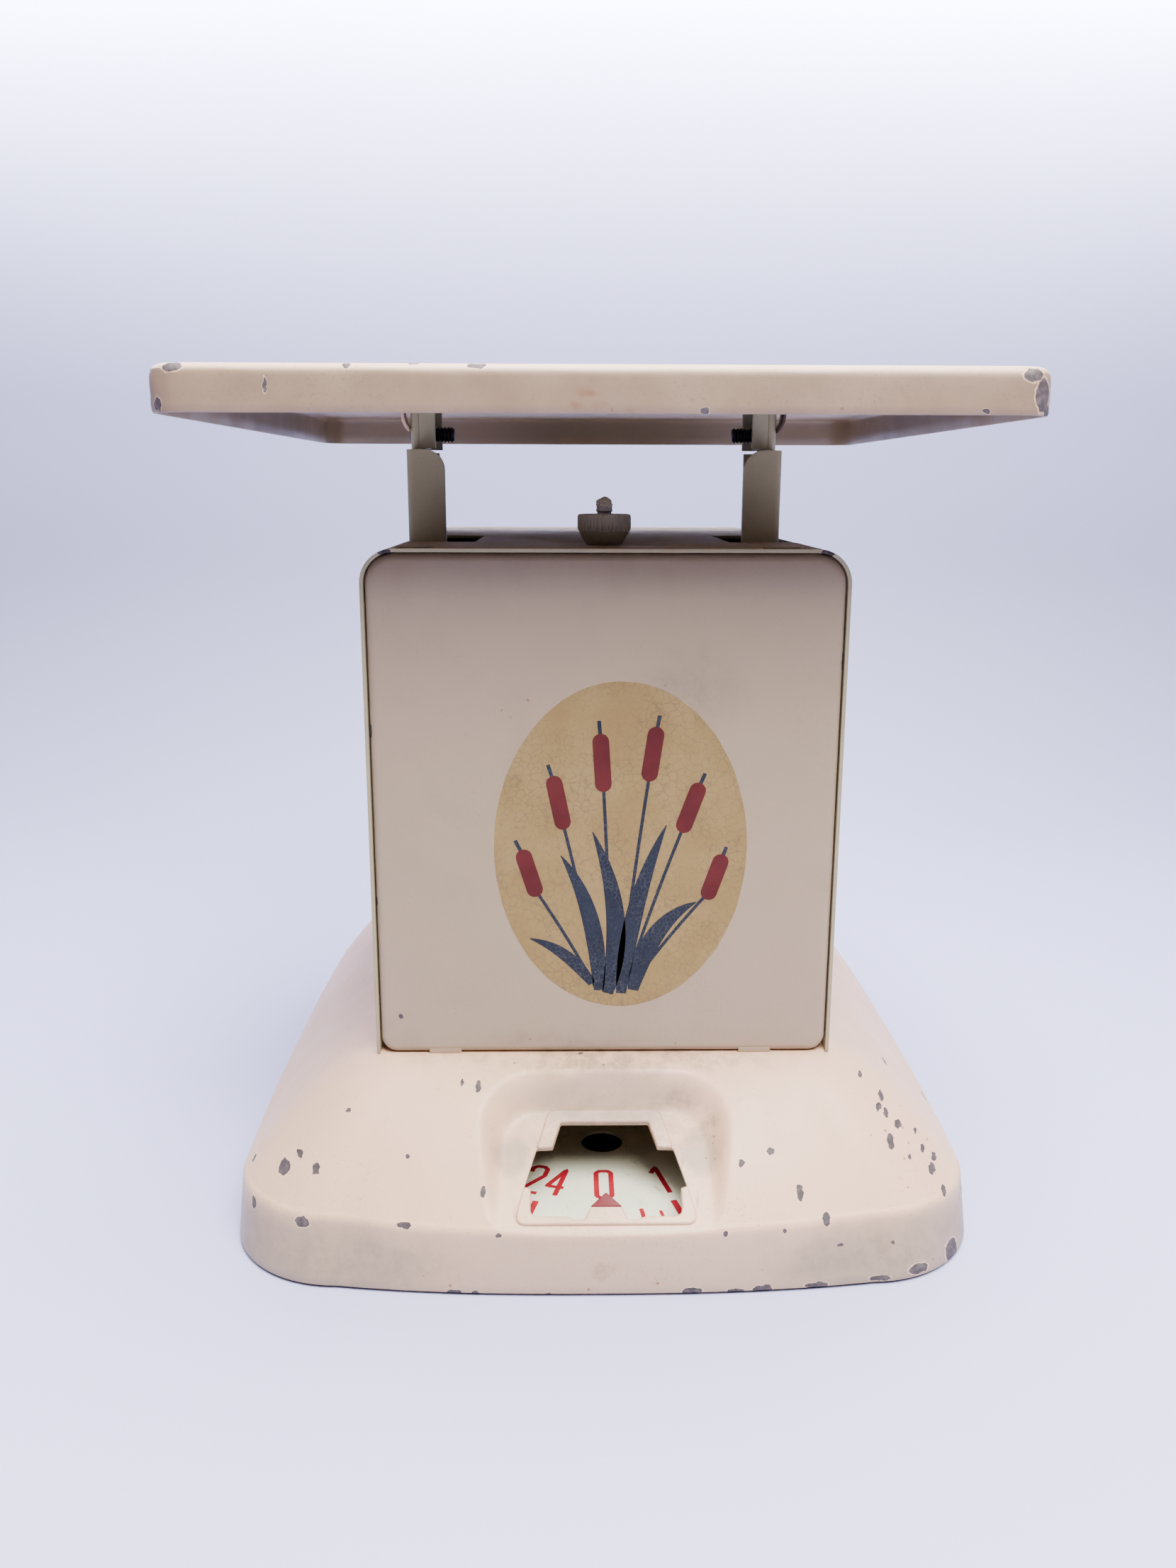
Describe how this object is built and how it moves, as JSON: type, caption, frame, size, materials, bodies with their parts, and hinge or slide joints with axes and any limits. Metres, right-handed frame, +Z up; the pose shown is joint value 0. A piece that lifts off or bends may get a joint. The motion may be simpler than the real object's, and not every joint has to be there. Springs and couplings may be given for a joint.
{
  "type": "kitchen scale",
  "caption": "Spring kitchen scale: flat tray on two posts over a box tower, domed base with a window onto a flat rotating dial, zero knob on top.",
  "frame": {"origin": "centre of the whole footprint, on the table under the rubber feet", "axes": "+Z up, -Y towards the dial window, +X to the right as seen from the window"},
  "size_m": [0.221, 0.258, 0.2436],
  "materials": {
    "enamel": "aged semi-gloss enamel with small chips",
    "enamel_top": "aged enamel, rubbed and grimy",
    "dial_face": "matt printed sheet",
    "steel": "plain cut steel",
    "dark_steel": "blackened steel",
    "brass": "turned",
    "rubber": "matt"
  },
  "bodies": {
    "housing": {"base_shell": "enamel", "bottom_plate": "steel", "rubber_feet": "rubber", "tower_surround": "enamel", "front_panel": "enamel", "rear_panel": "enamel", "rear_panel_screws": "steel", "tower_screws": "steel", "tower_nuts": "steel", "bridge_plate": "steel", "link_bracket": "steel", "upper_link_shaft": "steel", "lower_link_shaft": "steel", "crank_bracket": "steel", "crank_pivot": "steel", "rack_guide": "steel", "dial_pivot_cup": "brass", "dial_top_bush": "brass", "rod_bush": "brass"},
    "carriage": {"tray": "enamel", "tray_bracket_left": "enamel_top", "tray_bracket_right": "enamel_top", "tray_screws": "dark_steel", "post_left": "enamel_top", "post_right": "enamel_top", "yoke": "steel", "yoke_rivets": "steel", "drive_pin": "steel", "upper_post_rod": "steel", "lower_post_rod": "steel"},
    "upper_link": {"upper_check_link": "steel"},
    "lower_link": {"lower_check_link": "steel"},
    "crank": {"bell_crank": "steel", "crank_pin": "steel"},
    "rack": {"rack": "steel"},
    "dial": {"dial_disc": "dial_face", "dial_hub": "brass", "dial_shaft": "steel", "dial_pinion": "brass"},
    "knob": {"zero_knob": "enamel_top"},
    "adjuster": {"adjusting_rod": "steel", "spring_seat": "steel", "seat_nut": "steel", "main_spring": "steel"}
  },
  "joints": [
    {"name": "tray_travel", "type": "slide", "parent": "housing", "child": "carriage", "axis": [0, 0, -1], "range_m": [0, 0.0144], "stiffness_N_per_m": 7420, "springref_m": -0.0025, "deforming": ["main_spring"]},
    {"name": "upper_link_swing", "type": "hinge", "parent": "housing", "child": "upper_link", "pos_m": [0, 0.057, 0.1578], "axis": [1, 0, 0], "range_deg": [0, 14.6]},
    {"name": "lower_link_swing", "type": "hinge", "parent": "housing", "child": "lower_link", "pos_m": [0, 0.057, 0.0768], "axis": [1, 0, 0], "range_deg": [0, 14.6]},
    {"name": "crank_swing", "type": "hinge", "parent": "housing", "child": "crank", "pos_m": [-0.012, 0.016, 0.1055], "axis": [1, 0, 0], "range_deg": [0, 27.6]},
    {"name": "rack_slide", "type": "slide", "parent": "housing", "child": "rack", "axis": [0, 1, 0], "range_m": [0, 0.0297]},
    {"name": "dial_spin", "type": "hinge", "parent": "housing", "child": "dial", "pos_m": [0, -0.0265, 0.0165], "axis": [0, 0, 1], "range_deg": [-346, 0]},
    {"name": "zero_knob_turn", "type": "hinge", "parent": "housing", "child": "knob", "pos_m": [0, -0.059, 0.2043], "axis": [0, 0, 1], "range_deg": [-360, 360]},
    {"name": "adjuster_slide", "type": "slide", "parent": "housing", "child": "adjuster", "axis": [0, 0, 1], "range_m": [-0.00105, 0.00105]}
  ],
  "couplings": [
    {"joint": "upper_link_swing", "follows": "tray_travel", "rad_per_m": 17.544},
    {"joint": "lower_link_swing", "follows": "tray_travel", "rad_per_m": 17.544},
    {"joint": "crank_swing", "follows": "tray_travel", "rad_per_m": 33.333},
    {"joint": "rack_slide", "follows": "tray_travel", "ratio": 2.0525},
    {"joint": "dial_spin", "follows": "tray_travel", "rad_per_m": -418.88},
    {"joint": "zero_knob_turn", "follows": "adjuster_slide", "rad_per_m": -5938.7}
  ]
}
